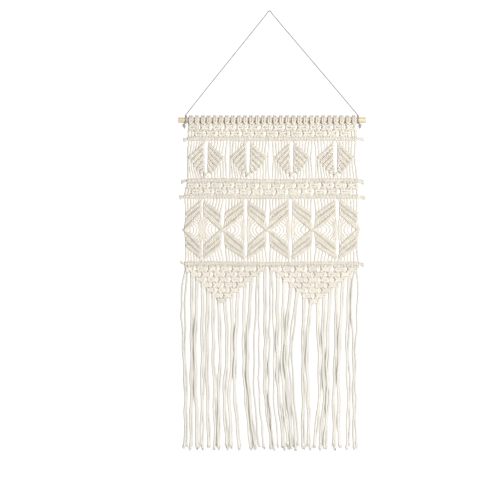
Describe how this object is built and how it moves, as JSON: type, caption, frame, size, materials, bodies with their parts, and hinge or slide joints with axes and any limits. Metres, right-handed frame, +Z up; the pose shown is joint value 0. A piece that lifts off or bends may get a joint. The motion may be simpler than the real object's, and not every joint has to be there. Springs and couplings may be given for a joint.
{
  "type": "macrame wall hanging on a wooden dowel",
  "caption": "Knotted cotton cord hanging on a round wooden dowel, with bands of square knots, leaves, crossed ribs, two points and a long fringe, held by one cord over a wall hook.",
  "frame": {"origin": "where the hanging cord bears on its hook, under the cord's apex", "axes": "+Z up, +X to the right and -Y towards the viewer, seen from the front"},
  "size_m": [0.342, 0.0178, 0.8009],
  "materials": {
    "cotton": "undyed twisted cotton cord, matt",
    "wood": "plain sanded softwood",
    "twine": "thin off-white cotton twine"
  },
  "bodies": {
    "root": {"dowel": "wood", "hanging_cord": "twine", "tie_left": "twine", "tie_right": "twine", "macrame": "cotton", "fringe": "cotton"}
  },
  "joints": []
}
